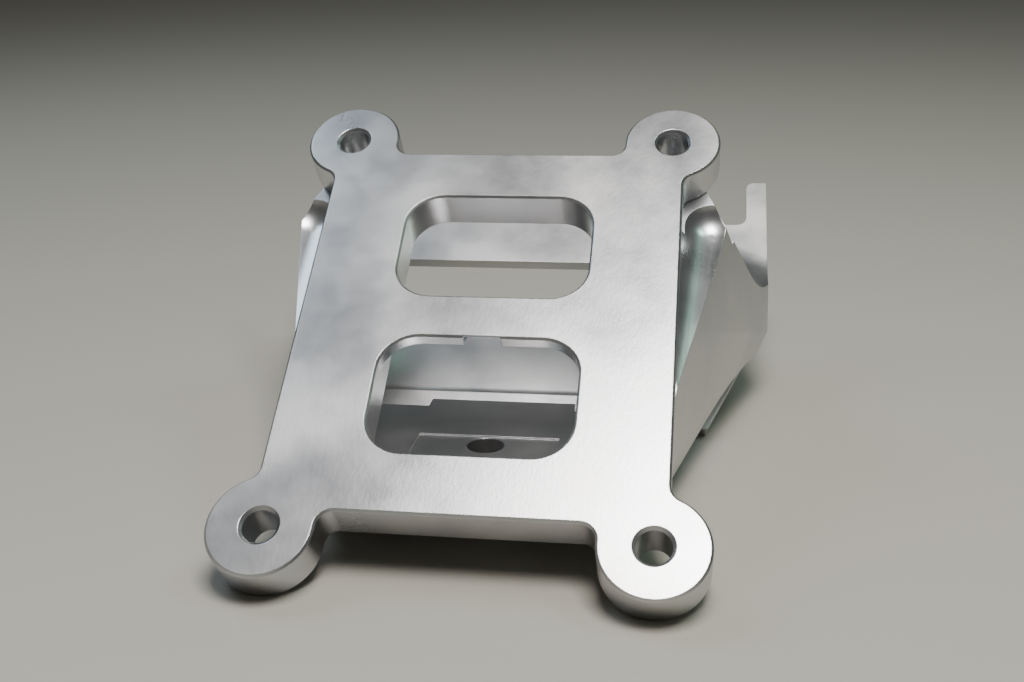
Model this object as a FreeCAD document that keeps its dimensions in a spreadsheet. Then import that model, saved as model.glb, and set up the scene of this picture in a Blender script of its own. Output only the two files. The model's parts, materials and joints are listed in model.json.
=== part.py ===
import FreeCAD, Part
import os
import math
import Sketcher

# Angled adapter bracket, machined from one aluminium block.
# The front flange lies in the XY plane of the construction frame, its front
# face at z = 0 and its depth towards -z.  Behind it two flared cheeks run back
# to a thin rear plate that is parallel to the flange, and a sloping floor with
# one clearance hole joins the cheeks.  When it lies on a bench it touches with
# the rear rims of the two lower ears and with the lower edge of the rear
# plate; the final placement turns the bracket into that position.

V = FreeCAD.Vector
doc = FreeCAD.newDocument("angled_bracket_doc")

# ---------------------------------------------------------------- dimensions
sheet = doc.addObject("Spreadsheet::Sheet", "dims")
ROWS = [
    ("hole_half_x", 46.0, "half the tapped-hole spacing across"),
    ("hole_half_y", 62.1, "half the tapped-hole spacing along"),
    ("ear_radius", 13.25, "outer radius of the four ears"),
    ("ear_fillet", 4.0, "concave fillet between ear and flange edge"),
    ("flange_half_x", 49.3, "half width of the flange"),
    ("flange_half_y", 57.35, "half height of the flange"),
    ("flange_depth", 11.0, "thickness of the flange and the ears"),
    ("tap_drill_dia", 8.5, "minor diameter of the M10x1.5 tapped holes"),
    ("tap_cut_dia", 10.2, "diameter of the countersink on the tapped holes"),
    ("window_half_x", 25.65, "half width of the two windows"),
    ("window_low_y", 6.65, "window edge next to the web"),
    ("window_high_y", 40.9, "window edge next to the top or bottom bar"),
    ("window_corner", 10.0, "corner radius of the windows"),
    ("web_depth", 3.7, "thickness of the web left between the windows"),
    ("edge_break", 0.6, "chamfer round the flange's front outline"),
    ("cheek_front", 6.0, "depth at which the cheek loft starts"),
    ("rear_front", 60.7, "depth of the rear plate's front face"),
    ("rear_back", 64.4, "depth of the rear plate's back face"),
    ("rear_half_x", 76.0, "half width of the rear plate"),
    ("rear_corner_y", 43.8, "height of the corner where the rear plate starts to taper"),
    ("rear_foot_y", 5.6, "height of the rear plate's lower edge"),
    ("rear_shoulder_y", 84.2, "height of the rear plate's shoulder"),
    ("prong_top_y", 102.7, "top of the two prongs"),
    ("prong_inner_x", 69.4, "inner edge of the prongs"),
    ("prong_corner", 2.6, "rounded inner top corner of a prong"),
    ("prong_fillet", 3.2, "fillet at the foot of a prong"),
    ("opening_half_x", 48.0, "half width of the rear plate's opening"),
    ("opening_low_y", 47.0, "lower edge of the rear opening"),
    ("opening_high_y", 66.9, "upper edge of the rear opening"),
    ("opening_corner", 6.0, "corner radius of the rear opening"),
    ("hollow_front_x", 40.0, "half width of the hollow behind the flange"),
    ("hollow_back_x", 55.9, "half width of the hollow at the rear plate"),
    ("floor_start_y", -42.3, "where the floor leaves the flange"),
    ("floor_angle", 36.6, "angle between the floor and the flange, degrees"),
    ("floor_long", 55.2, "length of the floor at its middle"),
    ("floor_short", 49.7, "length of the floor at its sides"),
    ("floor_tongue_x", 20.7, "half width of the longer middle part of the floor"),
    ("tongue_corner", 3.0, "rounded corners of the longer middle part"),
    ("floor_hole_dia", 10.0, "clearance hole through the floor"),
    ("floor_hole_run", 24.0, "distance of that hole along the floor"),
    ("spot_half_x", 19.0, "half width of the milled seat round the hole"),
    ("spot_run", 29.5, "length of the milled seat along the floor"),
    ("spot_deep", 0.5, "depth of the milled seat"),
    ("scoop_radius", 9.0, "radius of the scoops beside the flange"),
    ("crest_radius", 27.0, "radius between the cheek tops and the rear plate"),
    ("rib_front", 56.2, "depth of the front of the foot rib"),
    ("rib_high_y", 12.7, "top of the foot rib"),
    ("rib_half_x", 45.0, "half length of the foot rib"),
    ("rib_fillet", 4.5, "fillet between the foot rib and the rear plate"),
    ("flare_x0", 50.28, "cheek face: half width at mid height and no depth"),
    ("flare_per_y", 0.163, "cheek face: widening per mm of height"),
    ("flare_per_depth", 0.287, "cheek face: widening per mm of depth"),
    ("lower_slope_front", 0.142, "cheek's lower facet: widening per mm of height in front"),
    ("lower_slope_back", 0.381, "cheek's lower facet: widening per mm of height at the back"),
    ("crease_front_y", 1.2, "height of the cheek crease in front"),
    ("blank_low_y", -60.0, "lower end of the cheek blank"),
    ("blank_high_y", 100.0, "upper end of the cheek blank"),
    ("foot_heel_y", -26.0, "height of the block's lower rear corner"),
    ("foot_heel_depth", 40.0, "depth of the block's lower rear corner"),
    ("arch_start_y", 0.6, "height at which the relief arch starts"),
    ("arch_start_depth", 46.4, "depth at which the relief arch starts"),
    ("arch_mid_y", 12.5, "height of a point half way along the arch"),
    ("arch_mid_depth", 52.0, "depth of that point"),
    ("arch_end_y", 24.3, "height at which the arch reaches the rear plate"),
    ("crest_x0", 57.3, "half width at which the crest profile is given"),
    ("crest_slope", 0.5, "fall of the cheek tops per mm outwards"),
    ("crest_y", 45.0, "height of the cheek tops behind the ears"),
    ("crest_rise", 0.294, "rise of the cheek tops per mm of depth"),
    ("ear_clearance", 10.5, "radius kept clear behind the upper ears"),
    ("rest_angle", 33.6, "lean of the flange when the bracket lies on a bench, degrees"),
]
VAL = {}
for i, (alias, value, note) in enumerate(ROWS):
    row = i + 1
    sheet.set("A%d" % row, note)
    sheet.set("B%d" % row, str(value))
    sheet.setAlias("B%d" % row, alias)
    VAL[alias] = value
doc.recompute()


def D(alias):
    return float(sheet.get(alias))


def plane(body, role):
    for f in body.Origin.OriginFeatures:
        if f.Role == role:
            return f
    raise RuntimeError("no plane " + role)


def new_body(name):
    return doc.addObject("PartDesign::Body", name)


def new_sketch(body, name, role, offset=0.0, expr=None):
    sk = body.newObject("Sketcher::SketchObject", name)
    sk.AttachmentSupport = [(plane(body, role), "")]
    sk.MapMode = "FlatFace"
    sk.AttachmentOffset = FreeCAD.Placement(V(0, 0, offset), FreeCAD.Rotation())
    if expr:
        sk.setExpression("AttachmentOffset.Base.z", expr)
    return sk


def bind(sk, con, expr):
    sk.setExpression("Constraints[%d]" % con, expr)


def poly(sk, pts, closed=True):
    """Straight-sided outline; every corner is joined to the next."""
    first = None
    n = len(pts)
    ids = []
    for i in range(n if closed else n - 1):
        a, b = pts[i], pts[(i + 1) % n]
        ids.append(sk.addGeometry(Part.LineSegment(V(a[0], a[1], 0), V(b[0], b[1], 0)), False))
    for i in range(len(ids) - (0 if closed else 1)):
        sk.addConstraint(Sketcher.Constraint("Coincident", ids[i], 2, ids[(i + 1) % len(ids)], 1))
    return ids


def pin_points(sk, ids, exprs):
    """Fix the start point of each line at expressions (x, y)."""
    for k, (ex, ey) in enumerate(exprs):
        g = ids[k]
        for which, e in (("DistanceX", ex), ("DistanceY", ey)):
            geo = sk.Geometry[g]
            cur = geo.StartPoint.x if which == "DistanceX" else geo.StartPoint.y
            c = sk.addConstraint(Sketcher.Constraint(which, -1, 1, g, 1, cur))
            if e is not None:
                bind(sk, c, e)


def rect(sk, x0, y0, x1, y1, ex0, ey0, ex1, ey1):
    ids = poly(sk, [(x0, y0), (x1, y0), (x1, y1), (x0, y1)])
    for g in (ids[0], ids[2]):
        sk.addConstraint(Sketcher.Constraint("Horizontal", g))
    for g in (ids[1], ids[3]):
        sk.addConstraint(Sketcher.Constraint("Vertical", g))
    for g, which, val, e in ((ids[0], "DistanceX", x0, ex0), (ids[0], "DistanceY", y0, ey0),
                             (ids[2], "DistanceX", x1, ex1), (ids[2], "DistanceY", y1, ey1)):
        c = sk.addConstraint(Sketcher.Constraint(which, -1, 1, g, 1, val))
        bind(sk, c, e)
    return ids


def pad(body, sk, name, length_expr, midplane=False, reverse=False):
    f = body.newObject("PartDesign::Pad", name)
    f.Profile = sk
    f.Type = 0
    f.setExpression("Length", length_expr)
    f.SideType = "Symmetric" if midplane else "One side"
    f.Reversed = reverse
    return f


def add_arc(sk, p1, pm, p3):
    """Arc through three points.  Returns the geometry and which of its ends
    (1 start, 2 end) lies on p1 and on p3."""
    circ = Part.Arc(V(p1[0], p1[1], 0), V(pm[0], pm[1], 0), V(p3[0], p3[1], 0)).toShape().Curve
    c, r = circ.Center, circ.Radius
    a = [math.atan2(p[1] - c.y, p[0] - c.x) for p in (p1, pm, p3)]
    turn = lambda x, y: (y - x) % (2 * math.pi)
    if turn(a[0], a[1]) < turn(a[0], a[2]):
        g = sk.addGeometry(Part.ArcOfCircle(Part.Circle(c, V(0, 0, 1), r), a[0], a[0] + turn(a[0], a[2])), False)
        return g, 1, 2
    g = sk.addGeometry(Part.ArcOfCircle(Part.Circle(c, V(0, 0, 1), r), a[2], a[2] + turn(a[2], a[0])), False)
    return g, 2, 1


def must_change(label, before, after, sign):
    if sign * (after - before) <= 1e-6:
        raise RuntimeError("%s changed nothing (%.3f -> %.3f)" % (label, before, after))


# ------------------------------------------------------------ front flange
flange = new_body("flange_body")
sk = new_sketch(flange, "flange_outline", "XY_Plane")
rect(sk, -49.3, -57.35, 49.3, 57.35, "-dims.flange_half_x", "-dims.flange_half_y",
     "dims.flange_half_x", "dims.flange_half_y")
plate = pad(flange, sk, "flange_plate", "dims.flange_depth", reverse=True)
sk2 = new_sketch(flange, "ear_circles", "XY_Plane")
for sx in (-1, 1):
    for sy in (-1, 1):
        g = sk2.addGeometry(Part.Circle(V(sx * 46, sy * 62.1, 0), V(0, 0, 1), 13.25), False)
        c = sk2.addConstraint(Sketcher.Constraint("DistanceX", -1, 1, g, 3, sx * 46.0))
        bind(sk2, c, ("" if sx > 0 else "-") + "dims.hole_half_x")
        c = sk2.addConstraint(Sketcher.Constraint("DistanceY", -1, 1, g, 3, sy * 62.1))
        bind(sk2, c, ("" if sy > 0 else "-") + "dims.hole_half_y")
        c = sk2.addConstraint(Sketcher.Constraint("Radius", g, 13.25))
        bind(sk2, c, "dims.ear_radius")
ears = pad(flange, sk2, "ears", "dims.flange_depth", reverse=True)
doc.recompute()

# concave fillets where an ear's side runs into the flange's straight edge
names = []
hx, hy, er = D("hole_half_x"), D("hole_half_y"), D("ear_radius")
fx, fy = D("flange_half_x"), D("flange_half_y")
for i, e in enumerate(ears.Shape.Edges):
    if len(e.Vertexes) != 2 or e.Curve.TypeId != "Part::GeomLine":
        continue
    a, b = e.Vertexes[0].Point, e.Vertexes[1].Point
    if abs(a.x - b.x) > 1e-6 or abs(a.y - b.y) > 1e-6:
        continue
    d = math.hypot(abs(a.x) - hx, abs(a.y) - hy)
    if abs(d - er) < 1e-4 and (abs(abs(a.x) - fx) < 1e-4 or abs(abs(a.y) - fy) < 1e-4):
        names.append("Edge%d" % (i + 1))
if len(names) != 8:
    raise RuntimeError("expected 8 ear corners, found %d" % len(names))
fil = flange.newObject("PartDesign::Fillet", "ear_fillets")
fil.Base = (ears, names)
fil.setExpression("Radius", "dims.ear_fillet")
doc.recompute()
must_change("ear fillets", ears.Shape.Volume, fil.Shape.Volume, 1)


def round_corners(body, base, name, test, radius_expr, count):
    """Round the edges along z whose position passes the test."""
    found = []
    for i, e in enumerate(base.Shape.Edges):
        if len(e.Vertexes) != 2 or e.Curve.TypeId != "Part::GeomLine":
            continue
        a, b = e.Vertexes[0].Point, e.Vertexes[1].Point
        if abs(a.x - b.x) > 1e-6 or abs(a.y - b.y) > 1e-6:
            continue
        if test(a, b):
            found.append("Edge%d" % (i + 1))
    if len(found) != count:
        raise RuntimeError("%s: expected %d edges, found %d" % (name, count, len(found)))
    f = body.newObject("PartDesign::Fillet", name)
    f.Base = (base, found)
    f.setExpression("Radius", radius_expr)
    doc.recompute()
    return f


sk3 = new_sketch(flange, "window_outline", "XY_Plane")
rect(sk3, -25.65, 6.65, 25.65, 40.9, "-dims.window_half_x", "dims.window_low_y",
     "dims.window_half_x", "dims.window_high_y")
rect(sk3, -25.65, -40.9, 25.65, -6.65, "-dims.window_half_x", "-dims.window_high_y",
     "dims.window_half_x", "-dims.window_low_y")
win = flange.newObject("PartDesign::Pocket", "windows")
win.Profile = sk3
win.Type = 1
doc.recompute()
must_change("windows", fil.Shape.Volume, win.Shape.Volume, -1)
wx, wl, wh = D("window_half_x"), D("window_low_y"), D("window_high_y")
win_r = round_corners(flange, win, "window_corners",
                      lambda a, b: abs(abs(a.x) - wx) < 1e-4 and
                      (abs(abs(a.y) - wl) < 1e-4 or abs(abs(a.y) - wh) < 1e-4),
                      "dims.window_corner", 8)

# the web between the windows is thinned from behind
sk4 = new_sketch(flange, "web_relief_outline", "XY_Plane", -11.0, "-dims.flange_depth")
rect(sk4, -25.65, -17.0, 25.65, 17.0, "-dims.window_half_x", "-dims.window_low_y - 10",
     "dims.window_half_x", "dims.window_low_y + 10")
web = flange.newObject("PartDesign::Pocket", "web_relief")
web.Profile = sk4
web.Type = 0
web.setExpression("Length", "dims.flange_depth - dims.web_depth")
web.Reversed = True
doc.recompute()
must_change("web relief", win_r.Shape.Volume, web.Shape.Volume, -1)

# tapped holes, modelled at their minor diameter with a countersink in front
sk5 = new_sketch(flange, "tapped_hole_centres", "XY_Plane")
for sx in (-1, 1):
    for sy in (-1, 1):
        g = sk5.addGeometry(Part.Circle(V(sx * 46, sy * 62.1, 0), V(0, 0, 1), 4.25), False)
        c = sk5.addConstraint(Sketcher.Constraint("DistanceX", -1, 1, g, 3, sx * 46.0))
        bind(sk5, c, ("" if sx > 0 else "-") + "dims.hole_half_x")
        c = sk5.addConstraint(Sketcher.Constraint("DistanceY", -1, 1, g, 3, sy * 62.1))
        bind(sk5, c, ("" if sy > 0 else "-") + "dims.hole_half_y")
        c = sk5.addConstraint(Sketcher.Constraint("Diameter", g, 8.5))
        bind(sk5, c, "dims.tap_drill_dia")
doc.recompute()
holes = flange.newObject("PartDesign::Hole", "tapped_holes")
holes.Profile = sk5
holes.setExpression("Diameter", "dims.tap_drill_dia")
holes.DepthType = 1
holes.HoleCutType = 2
holes.setExpression("HoleCutDiameter", "dims.tap_cut_dia")
holes.HoleCutCountersinkAngle = 90
doc.recompute()
must_change("tapped holes", web.Shape.Volume, holes.Shape.Volume, -1)

# edge break round the front outline, the windows and the rear rims
edge_names = []
for i, e in enumerate(holes.Shape.Edges):
    bb = e.BoundBox
    at_front = abs(bb.ZMin) < 1e-4 and abs(bb.ZMax) < 1e-4
    if at_front and e.Length > 0.2:
        if e.Curve.TypeId == "Part::GeomCircle" and abs(e.Curve.Radius - D("tap_cut_dia") / 2) < 0.3:
            continue
        edge_names.append("Edge%d" % (i + 1))
    rear = abs(bb.ZMin + D("flange_depth")) < 1e-4 and abs(bb.ZMax + D("flange_depth")) < 1e-4
    if rear and e.Curve.TypeId == "Part::GeomCircle" and abs(e.Curve.Radius - er) < 1e-3:
        edge_names.append("Edge%d" % (i + 1))
brk = flange.newObject("PartDesign::Chamfer", "edge_break")
brk.Base = (holes, edge_names)
brk.setExpression("Size", "dims.edge_break")
doc.recompute()
must_change("edge break", holes.Shape.Volume, brk.Shape.Volume, -1)
flange.Tip = brk
doc.recompute()
print("flange volume", flange.Shape.Volume)


# ------------------------------------------------- cheeks and floor, as a block
# The side of the block is a plane above the crease and a slowly twisting
# facet below it, so it is lofted between two parallel outlines.
block = new_body("block_body")


def block_outline(name, depth_alias, slope_alias, crease_expr, crease_val):
    d, k = D(depth_alias), D(slope_alias)
    sk = new_sketch(block, name, "XY_Plane", -d, "-dims." + depth_alias)
    top = D("blank_high_y")
    low = D("blank_low_y")

    def face_x(y):
        return D("flare_x0") + D("flare_per_y") * y + D("flare_per_depth") * d

    xc = face_x(crease_val)
    xt = face_x(top)
    xl = xc - k * (crease_val - low)
    pts = [(-xl, low), (xl, low), (xc, crease_val), (xt, top), (-xt, top), (-xc, crease_val)]
    ids = poly(sk, pts)
    ex_c = "(dims.flare_x0 + dims.flare_per_y * %s + dims.flare_per_depth * dims.%s)" % (crease_expr, depth_alias)
    ex_t = "(dims.flare_x0 + dims.flare_per_y * dims.blank_high_y + dims.flare_per_depth * dims.%s)" % depth_alias
    ex_l = "(%s - dims.%s * (%s - dims.blank_low_y))" % (ex_c, slope_alias, crease_expr)
    pin_points(sk, ids, [("-" + ex_l, "dims.blank_low_y"), (ex_l, "dims.blank_low_y"),
                         (ex_c, crease_expr), (ex_t, "dims.blank_high_y"),
                         ("-" + ex_t, "dims.blank_high_y"), ("-" + ex_c, crease_expr)])
    return sk


so_a = block_outline("block_front", "cheek_front", "lower_slope_front", "dims.crease_front_y", D("crease_front_y"))
so_b = block_outline("block_back", "rear_back", "lower_slope_back", "dims.rear_corner_y", D("rear_corner_y"))
doc.recompute()
loft = block.newObject("PartDesign::AdditiveLoft", "block_loft")
loft.Profile = so_a
loft.Sections = [so_b]
loft.Ruled = True
doc.recompute()

# everything below the floor, and the relief arch in front of the rear plate
sk = new_sketch(block, "underside", "YZ_Plane")
pts = [(-90, 0), (-57.35, 0), (-57.35, -11.0), (-26.0, -40.0), (0.6, -46.4)]
g = []
for a, b in zip(pts[:-1], pts[1:]):
    g.append(sk.addGeometry(Part.LineSegment(V(a[0], a[1], 0), V(b[0], b[1], 0)), False))
ga, e1, e3 = add_arc(sk, (0.6, -46.4), (12.5, -52.0), (24.3, -60.7))
tail = [(24.3, -60.7), (5.6, -60.7), (5.6, -75.0), (-90, -75.0), (-90, 0)]
h = []
for a, b in zip(tail[:-1], tail[1:]):
    h.append(sk.addGeometry(Part.LineSegment(V(a[0], a[1], 0), V(b[0], b[1], 0)), False))
for a, b in zip(g[:-1], g[1:]):
    sk.addConstraint(Sketcher.Constraint("Coincident", a, 2, b, 1))
for a, b in zip(h[:-1], h[1:]):
    sk.addConstraint(Sketcher.Constraint("Coincident", a, 2, b, 1))
sk.addConstraint(Sketcher.Constraint("Coincident", h[-1], 2, g[0], 1))
arc_geo = sk.Geometry[ga]
sk.addConstraint(Sketcher.Constraint("Coincident", g[-1], 2, ga, e1))
sk.addConstraint(Sketcher.Constraint("Coincident", h[0], 1, ga, e3))
pin_points(sk, g, [(None, None), ("-dims.flange_half_y", None), ("-dims.flange_half_y", "-dims.flange_depth"),
                   ("dims.foot_heel_y", "-dims.foot_heel_depth")])
pin_points(sk, h, [("dims.arch_end_y", "-dims.rear_front"), ("dims.rear_foot_y", "-dims.rear_front"),
                   ("dims.rear_foot_y", None), (None, None)])
for which, val, e in (("DistanceX", 0.6, "dims.arch_start_y"), ("DistanceY", -46.4, "-dims.arch_start_depth")):
    c = sk.addConstraint(Sketcher.Constraint(which, -1, 1, g[-1], 2, val))
    bind(sk, c, e)
c = sk.addConstraint(Sketcher.Constraint("Radius", ga, arc_geo.Radius))
pl, pm, pe = (D("arch_start_y"), D("arch_start_depth")), (D("arch_mid_y"), D("arch_mid_depth")), (D("arch_end_y"), D("rear_front"))
la, lb, lc = math.dist(pm, pe), math.dist(pl, pe), math.dist(pl, pm)
half = (la + lb + lc) / 2
area = math.sqrt(half * (half - la) * (half - lb) * (half - lc))
sk.setDatum(c, FreeCAD.Units.Quantity("%.6f mm" % (la * lb * lc / (4 * area))))
under = block.newObject("PartDesign::Pocket", "underside_cut")
under.Profile = sk
under.Type = 0
under.Length = 220
under.SideType = "Symmetric"
doc.recompute()
must_change("underside", loft.Shape.Volume, under.Shape.Volume, -1)
block.Tip = under

# ---------------------------------------------------------------- the hollow
hollow = new_body("hollow_body")


def hollow_outline(name, depth, depth_expr, half_expr, half_val):
    sk = new_sketch(hollow, name, "XY_Plane", -depth, "-(" + depth_expr + ")")
    rect(sk, -half_val, -75.0, half_val, 130.0, "-(" + half_expr + ")", "-75", half_expr, "130")
    return sk


grow = "(dims.hollow_back_x - dims.hollow_front_x) / (dims.rear_front - dims.flange_depth)"
grow_v = (D("hollow_back_x") - D("hollow_front_x")) / (D("rear_front") - D("flange_depth"))
sh_a = hollow_outline("hollow_front", 0.0, "0", "dims.hollow_front_x - dims.flange_depth * " + grow,
                      D("hollow_front_x") - D("flange_depth") * grow_v)
sh_b = hollow_outline("hollow_back", D("rear_front"), "dims.rear_front", "dims.hollow_back_x", D("hollow_back_x"))
doc.recompute()
hl = hollow.newObject("PartDesign::AdditiveLoft", "hollow_loft")
hl.Profile = sh_a
hl.Sections = [sh_b]
hl.Ruled = True
doc.recompute()

fa = math.radians(D("floor_angle"))
fs, fd = D("floor_start_y"), D("flange_depth")
FC, FS = math.cos(fa), math.sin(fa)
run0 = -fd / FS


def floor_point(run, up=0.0):
    """(y, depth) of a point on the floor, moved up by a distance square to it."""
    return fs + FC * run + FS * up, fd + FS * run - FC * up


def floor_expr(run, up):
    ey = "(dims.floor_start_y + cos(dims.floor_angle * 1deg) * (%s) + sin(dims.floor_angle * 1deg) * (%s))" % (run, up)
    ez = "-(dims.flange_depth + sin(dims.floor_angle * 1deg) * (%s) - cos(dims.floor_angle * 1deg) * (%s))" % (run, up)
    return ey, ez


def floor_region(name, run_alias):
    sk = new_sketch(hollow, name, "YZ_Plane")
    spec = [(run0 - 4, 0.0, "-dims.flange_depth / sin(dims.floor_angle * 1deg) - 4", "0"),
            (D(run_alias), 0.0, "dims." + run_alias, "0"),
            (D(run_alias), -60.0, "dims." + run_alias, "-60"),
            (run0 - 4, -60.0, "-dims.flange_depth / sin(dims.floor_angle * 1deg) - 4", "-60")]
    pts = [floor_point(r, u) for r, u, _, _ in spec]
    ids = poly(sk, [(y, -d) for y, d in pts])
    pin_points(sk, ids, [floor_expr(er_, eu_) for _, _, er_, eu_ in spec])
    return sk


fk1 = floor_region("floor_sides", "floor_short")
keep1 = hollow.newObject("PartDesign::Pocket", "floor_kept")
keep1.Profile = fk1
keep1.Type = 0
keep1.Length = 220
keep1.SideType = "Symmetric"
doc.recompute()
must_change("floor", hl.Shape.Volume, keep1.Shape.Volume, -1)
fk2 = floor_region("floor_tongue", "floor_long")
keep2 = hollow.newObject("PartDesign::Pocket", "tongue_kept")
keep2.Profile = fk2
keep2.Type = 0
keep2.setExpression("Length", "2 * dims.floor_tongue_x")
keep2.SideType = "Symmetric"
doc.recompute()
must_change("tongue", keep1.Shape.Volume, keep2.Shape.Volume, -1)
hollow.Tip = keep2

# ------------------------------------------- crest: the cheeks' sloping tops
crest = new_body("crest_body")
k_c, x_c = D("crest_slope"), D("crest_x0")
shift = k_c * x_c
rise, cy = D("crest_rise"), D("crest_y")
th = math.atan(rise)
R = D("crest_radius")
rf = D("rear_front")
corner_y = cy + rise * (rf - 11.0)
tl = R * math.tan((math.pi / 2 - th) / 2)
p_line = (corner_y - tl * math.sin(th), rf - tl * math.cos(th))
p_wall = (corner_y + tl, rf)
centre = (p_wall[0], rf - R)
sk = new_sketch(crest, "crest_profile", "YZ_Plane")
ramp = (12.4, 16.2)          # depth range over which the top climbs to the ear
P = [(150.0, 0.0), (57.9 + shift, 0.0), (57.9 + shift, ramp[0]), (cy + rise * (ramp[1] - 11.0) + shift, ramp[1]),
     (p_line[0] + shift, p_line[1])]
ids = []
for a, b in zip(P[:-1], P[1:]):
    ids.append(sk.addGeometry(Part.LineSegment(V(a[0], -a[1], 0), V(b[0], -b[1], 0)), False))
mc = (centre[0] + shift, centre[1])
q1 = (p_line[0] + shift, p_line[1])
q3 = (p_wall[0] + shift, p_wall[1])
v1 = V(q1[0] - mc[0], -(q1[1] - mc[1]), 0)
v3 = V(q3[0] - mc[0], -(q3[1] - mc[1]), 0)
vm = (v1 + v3)
vm.normalize()
vm = vm * R
ga, e1, e3 = add_arc(sk, (q1[0], -q1[1]), (mc[0] + vm.x, -mc[1] + vm.y), (q3[0], -q3[1]))
t1 = sk.addGeometry(Part.LineSegment(V(q3[0], -q3[1], 0), V(150.0, -q3[1], 0)), False)
t2 = sk.addGeometry(Part.LineSegment(V(150.0, -q3[1], 0), V(150.0, 0, 0)), False)
for a, b in zip(ids[:-1], ids[1:]):
    sk.addConstraint(Sketcher.Constraint("Coincident", a, 2, b, 1))
sk.addConstraint(Sketcher.Constraint("Coincident", ids[-1], 2, ga, e1))
sk.addConstraint(Sketcher.Constraint("Coincident", t1, 1, ga, e3))
sk.addConstraint(Sketcher.Constraint("Coincident", t1, 2, t2, 1))
sk.addConstraint(Sketcher.Constraint("Coincident", t2, 2, ids[0], 1))
c = sk.addConstraint(Sketcher.Constraint("Radius", ga, R))
bind(sk, c, "dims.crest_radius")
c = sk.addConstraint(Sketcher.Constraint("DistanceY", -1, 1, t1, 1, -rf))
bind(sk, c, "-dims.rear_front")
sk.addConstraint(Sketcher.Constraint("Horizontal", t1))
sk.addConstraint(Sketcher.Constraint("Vertical", t2))
doc.recompute()
cp = crest.newObject("PartDesign::Pad", "crest_pad")
cp.Profile = sk
cp.UseCustomVector = True
cp.Direction = V(1, -k_c, 0)
cp.AlongSketchNormal = True
cp.Length = 100
doc.recompute()
print("crest box", cp.Shape.BoundBox)


# ------------------------------------------------------- rear plate, prongs
rear = new_body("rear_plate_body")
sk = new_sketch(rear, "rear_outline", "XY_Plane", -rf, "-dims.rear_front")
rx, sy_, py_, pi_ = D("rear_half_x"), D("rear_shoulder_y"), D("prong_top_y"), D("prong_inner_x")
base_y = 51.5
pts = [(-rx, base_y), (rx, base_y), (rx, py_), (pi_, py_), (pi_, sy_), (-pi_, sy_), (-pi_, py_), (-rx, py_)]
ids = poly(sk, pts)
pin_points(sk, ids, [("-dims.rear_half_x", None), ("dims.rear_half_x", None),
                     ("dims.rear_half_x", "dims.prong_top_y"), ("dims.prong_inner_x", "dims.prong_top_y"),
                     ("dims.prong_inner_x", "dims.rear_shoulder_y"), ("-dims.prong_inner_x", "dims.rear_shoulder_y"),
                     ("-dims.prong_inner_x", "dims.prong_top_y"), ("-dims.rear_half_x", "dims.prong_top_y")])
rp = pad(rear, sk, "rear_plate", "dims.rear_back - dims.rear_front", reverse=True)
doc.recompute()
r1 = round_corners(rear, rp, "prong_tips",
                   lambda a, b: abs(abs(a.x) - pi_) < 1e-4 and abs(a.y - py_) < 1e-4, "dims.prong_corner", 2)
r2 = round_corners(rear, r1, "prong_feet",
                   lambda a, b: abs(abs(a.x) - pi_) < 1e-4 and abs(a.y - sy_) < 1e-4, "dims.prong_fillet", 2)
rear.Tip = r2

# rib along the foot of the rear plate, with a fillet above it
rib = new_body("foot_rib_body")
sk = new_sketch(rib, "rib_profile", "YZ_Plane")
f0, ry_, rr, fb = D("rear_foot_y"), D("rib_high_y"), D("rib_fillet"), D("rib_front")
a0 = sk.addGeometry(Part.LineSegment(V(f0, -rf - 1, 0), V(f0, -fb, 0)), False)
a1 = sk.addGeometry(Part.LineSegment(V(f0, -fb, 0), V(ry_, -fb, 0)), False)
q = rr * (1 - math.sqrt(0.5))
a2, e1, e3 = add_arc(sk, (ry_, -fb), (ry_ + q, -(fb + rr - q)), (ry_ + rr, -(fb + rr)))
a3 = sk.addGeometry(Part.LineSegment(V(ry_ + rr, -rf, 0), V(ry_ + rr, -rf - 1, 0)), False)
a4 = sk.addGeometry(Part.LineSegment(V(ry_ + rr, -rf - 1, 0), V(f0, -rf - 1, 0)), False)
sk.addConstraint(Sketcher.Constraint("Coincident", a0, 2, a1, 1))
sk.addConstraint(Sketcher.Constraint("Coincident", a1, 2, a2, e1))
sk.addConstraint(Sketcher.Constraint("Coincident", a3, 1, a2, e3))
sk.addConstraint(Sketcher.Constraint("Coincident", a3, 2, a4, 1))
sk.addConstraint(Sketcher.Constraint("Coincident", a4, 2, a0, 1))
c = sk.addConstraint(Sketcher.Constraint("Radius", a2, rr))
bind(sk, c, "dims.rib_fillet")
pin_points(sk, [a0, a1], [("dims.rear_foot_y", None), (None, "-dims.rib_front")])
rbp = pad(rib, sk, "rib_pad", "2 * dims.rib_half_x", midplane=True)
doc.recompute()

# opening through the rear plate
slot = new_body("rear_opening_body")
sk = new_sketch(slot, "opening_outline", "XY_Plane", -rf + 5.0, "5 - dims.rear_front")
rect(sk, -48, 47, 48, 66.9, "-dims.opening_half_x", "dims.opening_low_y", "dims.opening_half_x", "dims.opening_high_y")
sp = pad(slot, sk, "opening_pad", "dims.rear_back - dims.rear_front + 10", reverse=True)
doc.recompute()
ox, ol, oh = D("opening_half_x"), D("opening_low_y"), D("opening_high_y")
sp2 = round_corners(slot, sp, "opening_corners", lambda a, b: abs(abs(a.x) - ox) < 1e-4, "dims.opening_corner", 4)
slot.Tip = sp2


# ------------------------------------------------------------- plain cutters
def part_box(name, x, y, z, lx, ly, lz, binds=None):
    o = doc.addObject("Part::Box", name)
    o.Length, o.Width, o.Height = lx, ly, lz
    o.Placement = FreeCAD.Placement(V(x, y, z), FreeCAD.Rotation())
    for k, e in (binds or {}).items():
        o.setExpression(k, e)
    return o


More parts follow.
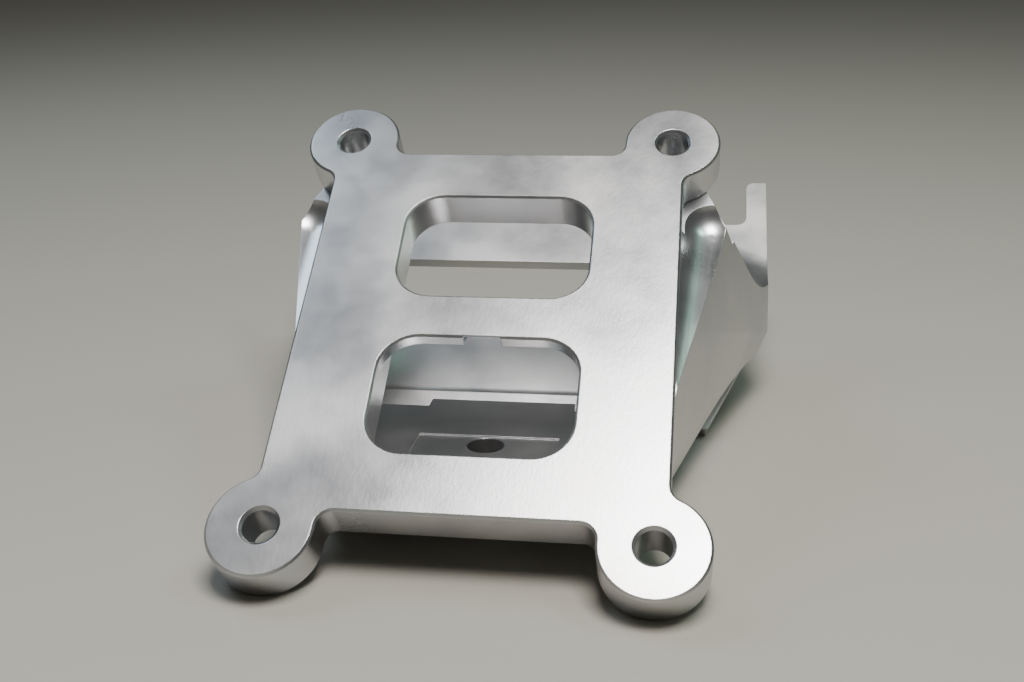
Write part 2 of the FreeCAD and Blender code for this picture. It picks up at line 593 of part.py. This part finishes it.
def half_space(name, point, normal, size=160.0, deep=90.0):
    """Box that fills the side of a plane which its normal points to."""
    o = doc.addObject("Part::Box", name)
    o.Length, o.Width, o.Height = size, size, deep
    rot = FreeCAD.Rotation(V(0, 0, 1), normal)
    base = point - rot.multVec(V(size / 2, size / 2, 0))
    o.Placement = FreeCAD.Placement(base, rot)
    return o


def mirrored(src, name):
    m = doc.addObject("Part::Mirroring", name)
    m.Source = src
    m.Base = V(0, 0, 0)
    m.Normal = V(1, 0, 0)
    return m


def fuse(name, shapes):
    o = doc.addObject("Part::MultiFuse", name)
    o.Shapes = shapes
    return o


def common(name, shapes):
    o = doc.addObject("Part::MultiCommon", name)
    o.Shapes = shapes
    return o


def cut(name, base, tool):
    o = doc.addObject("Part::Cut", name)
    o.Base = base
    o.Tool = tool
    return o


# ball-ended scoop beside the flange, deepest under the upper ear
scoop_low = V(54.34, -8.7, 0.96)
scoop_high = V(57.74, 41.0, -6.39)
axis = scoop_high - scoop_low
ray = FreeCAD.Vector(axis)
ray.normalize()
start = scoop_low - ray * 40.0
cyl = doc.addObject("Part::Cylinder", "scoop_cylinder")
cyl.setExpression("Radius", "dims.scoop_radius")
cyl.Height = (scoop_high - start).Length
cyl.Placement = FreeCAD.Placement(start, FreeCAD.Rotation(V(0, 0, 1), ray))
ball = doc.addObject("Part::Sphere", "scoop_ball")
ball.setExpression("Radius", "dims.scoop_radius")
ball.Placement = FreeCAD.Placement(scoop_high, FreeCAD.Rotation())
# the cheek does not reach in front of the scoop's upper end
ledge = part_box("ledge_trim", 30.0, 38.0, -11.0, 60.0, 80.0, 20.0,
                 {"Placement.Base.z": "-dims.flange_depth"})
# the cheek's upper front corner follows the ear's outline
nose_plane = half_space("nose_plane", V(60.9, 45.0, -15.0), V(1, 0.442, 0.3))
nose_zone = part_box("nose_zone", 40.0, 36.0, -22.0, 60.0, 60.0, 22.0)
nose = common("nose_trim", [nose_plane, nose_zone])
ear_bore = doc.addObject("Part::Cylinder", "ear_clearance_bore")
ear_bore.setExpression("Radius", "dims.ear_clearance")
ear_bore.Height = 49.0
ear_bore.Placement = FreeCAD.Placement(V(46.0, 62.1, -60.0), FreeCAD.Rotation())
ear_bore.setExpression("Placement.Base.x", "dims.hole_half_x")
ear_bore.setExpression("Placement.Base.y", "dims.hole_half_y")
# the side of the floor block is a narrow separate facet under the cheek
s_a, s_b, s_c = V(50.8, -22.0, -27.1), V(61.9, 10.1, -47.5), V(54.9, -7.2, -44.0)
nq = (s_b - s_a).cross(s_c - s_a)
if nq.x < 0:
    nq = nq * -1.0
nh = V(0, -(s_b.z - s_a.z), (s_b.y - s_a.y))
if nh.y > 0:
    nh = nh * -1.0
side_facet = common("side_facet", [half_space("side_plane", s_a, nq), half_space("side_level", s_a, nh)])
side_clip = part_box("side_clip", 76.0, -100.0, -80.0, 60.0, 260.0, 90.0, {"Placement.Base.x": "dims.rear_half_x"})
right = fuse("right_cutters", [crest, cyl, ball, ledge, nose, ear_bore, side_facet, side_clip])
left = mirrored(right, "left_cutters")
top_clip = part_box("rear_top_clip", -100.0, 51.5, -80.0, 200.0, 80.0, 80.0 - 60.7,
                    {"Height": "80 - dims.rear_front"})
doc.recompute()
block_a = cut("block_hollowed", block, hollow)
doc.recompute()
block_b = cut("block_right", block_a, right)
doc.recompute()
block_c = cut("block_left", block_b, left)
doc.recompute()
block_d = cut("block_trimmed", block_c, top_clip)
doc.recompute()
for o in (block_a, block_b, block_c, block_d):
    print(o.Name, round(o.Shape.Volume, 1), len(o.Shape.Solids), o.Shape.isValid())
body_all = fuse("bracket_fused", [flange, block_d, rear, rib])
doc.recompute()
print("fused", round(body_all.Shape.Volume, 1), len(body_all.Shape.Solids), body_all.Shape.isValid())

# ------------------------------------------- floor hole and its milled seat
floor_n = FreeCAD.Rotation(V(1, 0, 0), -D("floor_angle"))
hy_, hd_ = floor_point(D("floor_hole_run"))
drill = doc.addObject("Part::Cylinder", "floor_drill")
drill.setExpression("Radius", "dims.floor_hole_dia / 2")
drill.Height = 60.0
drill_rot = FreeCAD.Rotation(V(0, 0, 1), V(0, FS, FC))
drill.Placement = FreeCAD.Placement(V(0, hy_, -hd_) - drill_rot.multVec(V(0, 0, 30)), drill_rot)
py1, pd1 = floor_point(-6.0, -D("spot_deep"))
seat = doc.addObject("Part::Box", "spot_seat")
seat.setExpression("Length", "2 * dims.spot_half_x")
seat.setExpression("Width", "dims.spot_run + 6")
seat.Height = 6.0
seat_rot = FreeCAD.Rotation(V(1, 0, 0), V(0, FC, -FS), V(0, FS, FC), "XYZ")
seat.Placement = FreeCAD.Placement(V(-D("spot_half_x"), py1, -pd1), seat_rot)
finish_tools = fuse("finish_cutters", [slot, drill, seat])
doc.recompute()
bracket = cut("angled_bracket", body_all, finish_tools)
bracket.Refine = True
doc.recompute()
print("bracket", round(bracket.Shape.Volume, 1), len(bracket.Shape.Solids), bracket.Shape.isValid(), bracket.Shape.BoundBox)
bracket.Label = "angled_bracket"

# --------------------------------------------------------------- placement
rot = FreeCAD.Rotation(V(1, 0, 0), D("rest_angle"))
shape = bracket.Shape.copy()
shape.Placement = FreeCAD.Placement(V(0, 0, 0), rot)
bb = shape.optimalBoundingBox(False, False)
base = V(-(bb.XMin + bb.XMax) / 2, -(bb.YMin + bb.YMax) / 2, -bb.ZMin)
bracket.Placement = FreeCAD.Placement(base, rot)
doc.recompute()

# ------------------------------------------------------------------- checks
for o in doc.Objects:
    for s in o.State:
        if s in ("Invalid", "Error"):
            raise RuntimeError("%s is %s" % (o.Name, s))
for o in (bracket,):
    if o.Shape.isNull() or not o.Shape.isValid() or len(o.Shape.Solids) != 1:
        raise RuntimeError("bad shape in " + o.Label)

os.makedirs("parts", exist_ok=True)
bracket.Shape.exportStep(os.path.join("parts", bracket.Label + ".step"))
b = bracket.Shape.optimalBoundingBox(False, False)
print("box", b)
print("base", base, "volume", bracket.Shape.Volume, "mass g", bracket.Shape.Volume * 2.7e-3)


def placed(x, y, z):
    return bracket.Placement.multVec(V(x, y, z))


print("normal", rot.multVec(V(0, 0, 1)))
for sx in (-1, 1):
    for sy in (-1, 1):
        print("tapped hole", placed(sx * D("hole_half_x"), sy * D("hole_half_y"), -D("flange_depth") / 2))
print("front face centre", placed(0, 0, 0))
print("floor hole", placed(0, hy_, -hd_), rot.multVec(V(0, FS, FC)))
print("ear rim", placed(46, -62.1 - 13.25 + 0.6, -11.0), placed(46, -62.1 - 13.25, -10.4), "foot", placed(0, D("rear_foot_y"), -D("rear_back")))
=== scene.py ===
import bpy
import bmesh
import json
import math
import random
from mathutils import Matrix, Vector


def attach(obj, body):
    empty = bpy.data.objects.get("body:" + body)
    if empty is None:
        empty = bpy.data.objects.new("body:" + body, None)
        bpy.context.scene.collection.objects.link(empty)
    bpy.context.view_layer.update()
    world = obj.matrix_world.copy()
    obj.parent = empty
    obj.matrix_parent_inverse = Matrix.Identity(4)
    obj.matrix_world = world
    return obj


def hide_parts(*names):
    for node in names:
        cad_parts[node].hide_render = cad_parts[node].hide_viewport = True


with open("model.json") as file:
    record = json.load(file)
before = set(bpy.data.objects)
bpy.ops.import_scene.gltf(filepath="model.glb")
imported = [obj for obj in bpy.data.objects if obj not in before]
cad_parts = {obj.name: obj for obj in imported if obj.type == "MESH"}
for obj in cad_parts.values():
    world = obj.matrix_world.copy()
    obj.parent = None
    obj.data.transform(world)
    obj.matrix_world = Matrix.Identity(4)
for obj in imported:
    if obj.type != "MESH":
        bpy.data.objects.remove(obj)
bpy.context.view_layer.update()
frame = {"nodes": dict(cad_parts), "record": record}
random.seed(7)

# ------------------------------------------------------------------ helpers
MM = 0.001
LEAN = math.radians(33.6)
SL, CL = math.sin(LEAN), math.cos(LEAN)

rec = frame["record"]
mounts = {m["name"]: m for m in rec["mounts"]}
face = mounts["flange_face"]
# the flange's own frame: x across, y up the flange, z out of its front face
N = Vector(face["axis"]).normalized()
U = Vector((0.0, -N.y * 0.0 + N.z, -N.y)).normalized()
hl = Vector(mounts["tapped_hole_lower_left"]["pos_m"])
hr = Vector(mounts["tapped_hole_upper_right"]["pos_m"])
mid = (hl + hr) / 2
O = mid + N * 0.0
# height of the front face above the holes' middle
O = mid + N * ((Vector(face["pos_m"]) - mid).dot(N))


def P(x, y, z):
    """Flange coordinates in mm to the row frame in metres."""
    return O + Vector((1, 0, 0)) * (x * MM) + U * (y * MM) + N * (z * MM)


def new_mesh_object(name, verts, faces):
    me = bpy.data.meshes.new(name)
    me.from_pydata(verts, [], faces)
    me.update()
    ob = bpy.data.objects.new(name, me)
    bpy.context.scene.collection.objects.link(ob)
    return ob


# ------------------------------------------------------------ the bracket
node = frame["nodes"]["angled_bracket"]
print("CAD faces", len(node.data.polygons), "materials", [m.name for m in node.data.materials])

bracket_mesh = node.data.copy()
bracket = bpy.data.objects.new("bracket", bracket_mesh)
bpy.context.scene.collection.objects.link(bracket)
bracket.matrix_world = node.matrix_world.copy()
bm = bmesh.new()
bm.from_mesh(bracket_mesh)
bmesh.ops.remove_doubles(bm, verts=bm.verts, dist=1e-6)
bmesh.ops.dissolve_degenerate(bm, edges=bm.edges, dist=1e-7)
print("edges", len(bm.edges), "non manifold", sum(1 for e in bm.edges if not e.is_manifold))
for f in bm.faces:
    f.smooth = True
for e in bm.edges:
    if len(e.link_faces) == 2:
        e.smooth = e.calc_face_angle() < math.radians(22)
bm.to_mesh(bracket_mesh)
bm.free()

mat = bpy.data.materials.new("aluminium")
mat.use_nodes = True
nt = mat.node_tree
bsdf = nt.nodes["Principled BSDF"]
bsdf.inputs["Metallic"].default_value = 1.0


def node_of(kind, **inputs):
    n = nt.nodes.new(kind)
    for key, value in inputs.items():
        n.inputs[key.replace("_", " ")].default_value = value
    return n


coord = nt.nodes.new("ShaderNodeTexCoord")
# fine crossing scratches: three stretched noise fields turned against each other
total = None
for k, (turn, scale, stretch) in enumerate(((0.5, 900.0, 0.05), (2.3, 700.0, 0.07), (1.4, 1200.0, 0.08))):
    mp = nt.nodes.new("ShaderNodeMapping")
    mp.inputs["Rotation"].default_value = (0.55, 0.0, turn)
    mp.inputs["Scale"].default_value = (1.0, stretch, 1.0)
    nt.links.new(coord.outputs["Object"], mp.inputs["Vector"])
    noise = node_of("ShaderNodeTexNoise", Scale=scale, Detail=4.0, Roughness=0.6)
    nt.links.new(mp.outputs["Vector"], noise.inputs["Vector"])
    if total is None:
        total = noise.outputs["Fac"]
    else:
        add = nt.nodes.new("ShaderNodeMath")
        add.operation = "ADD"
        nt.links.new(total, add.inputs[0])
        nt.links.new(noise.outputs["Fac"], add.inputs[1])
        total = add.outputs["Value"]
bump = node_of("ShaderNodeBump", Strength=0.22, Distance=0.00006)
nt.links.new(total, bump.inputs["Height"])
# edges are softened a little, as after deburring
bevel = nt.nodes.new("ShaderNodeBevel")
bevel.inputs["Radius"].default_value = 0.0003
nt.links.new(bevel.outputs["Normal"], bump.inputs["Normal"])
nt.links.new(bump.outputs["Normal"], bsdf.inputs["Normal"])
# patchy finish: large soft variation in roughness and tone
patch = node_of("ShaderNodeTexNoise", Scale=28.0, Detail=5.0, Roughness=0.55)
nt.links.new(coord.outputs["Object"], patch.inputs["Vector"])
rough = nt.nodes.new("ShaderNodeMapRange")
rough.inputs["From Min"].default_value = 0.3
rough.inputs["From Max"].default_value = 0.7
rough.inputs["To Min"].default_value = 0.26
rough.inputs["To Max"].default_value = 0.40
nt.links.new(patch.outputs["Fac"], rough.inputs["Value"])
nt.links.new(rough.outputs["Result"], bsdf.inputs["Roughness"])
tone = nt.nodes.new("ShaderNodeValToRGB")
tone.color_ramp.elements[0].position = 0.35
tone.color_ramp.elements[0].color = (0.50, 0.51, 0.53, 1.0)
tone.color_ramp.elements[1].position = 0.65
tone.color_ramp.elements[1].color = (0.66, 0.655, 0.65, 1.0)
nt.links.new(patch.outputs["Fac"], tone.inputs["Fac"])
nt.links.new(tone.outputs["Color"], bsdf.inputs["Base Color"])
bracket_mesh.materials.clear()
bracket_mesh.materials.append(mat)
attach(bracket, "root")
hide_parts("angled_bracket")

# --------------------------------------------------------------- the stage
floor = new_mesh_object("floor", [(-3, -3, 0), (3, -3, 0), (3, 3, 0), (-3, 3, 0)], [(0, 1, 2, 3)])
fm = bpy.data.materials.new("pale_floor")
fm.use_nodes = True
fb = fm.node_tree.nodes["Principled BSDF"]
fb.inputs["Roughness"].default_value = 0.5
fn = fm.node_tree.nodes.new("ShaderNodeTexNoise")
fn.inputs["Scale"].default_value = 6.0
fr = fm.node_tree.nodes.new("ShaderNodeValToRGB")
fr.color_ramp.elements[0].color = (0.33, 0.315, 0.275, 1)
fr.color_ramp.elements[1].color = (0.37, 0.355, 0.31, 1)
fm.node_tree.links.new(fn.outputs["Fac"], fr.inputs["Fac"])
fm.node_tree.links.new(fr.outputs["Color"], fb.inputs["Base Color"])
floor.data.materials.append(fm)

world = bpy.data.worlds.new("studio")
bpy.context.scene.world = world
world.use_nodes = True
bg = world.node_tree.nodes["Background"]
bg.inputs["Color"].default_value = (0.09, 0.092, 0.088, 1)
bg.inputs["Strength"].default_value = 1.0


def area(name, loc, target, size, power, color=(1, 1, 1), size_y=None):
    ld = bpy.data.lights.new(name, "AREA")
    ld.energy = power
    ld.color = color
    ld.size = size
    if size_y:
        ld.shape = "RECTANGLE"
        ld.size_y = size_y
    ob = bpy.data.objects.new(name, ld)
    bpy.context.scene.collection.objects.link(ob)
    ob.location = loc
    d = Vector(target) - Vector(loc)
    ob.rotation_euler = d.to_track_quat("-Z", "Y").to_euler()
    return ob


area("key", (0.12, -0.22, 0.75), (0.02, -0.03, 0.03), 0.30, 9.0, (1.0, 0.955, 0.93))
area("left_cool", (-0.55, 0.25, 0.75), (0, 0, 0.05), 0.45, 2.6, (0.72, 0.86, 1.0))
area("right_green", (0.5, 0.05, 0.8), (0.05, 0.03, 0.05), 0.18, 1.2, (0.6, 1.0, 0.82))

cam_data = bpy.data.cameras.new("camera")
cam_data.sensor_width = 36.0
cam_data.lens = 43.207
cam_data.clip_start = 0.01
cam = bpy.data.objects.new("camera", cam_data)
bpy.context.scene.collection.objects.link(cam)
right = Vector((0.988942762905581, 0.14612058453800134, -0.025317710618239987))
up = Vector((-0.029550788983375008, 0.36146867873090777, 0.9319158466122315))
back = Vector((0.1453236476528723, -0.9208632738201719, 0.36178981240778363))
m = Matrix((right, up, back)).transposed().to_4x4()
m.translation = Vector((0.05313790034976838, -0.32167390075119373, 0.15879700964460164))
cam.matrix_world = m
bpy.context.scene.camera = cam
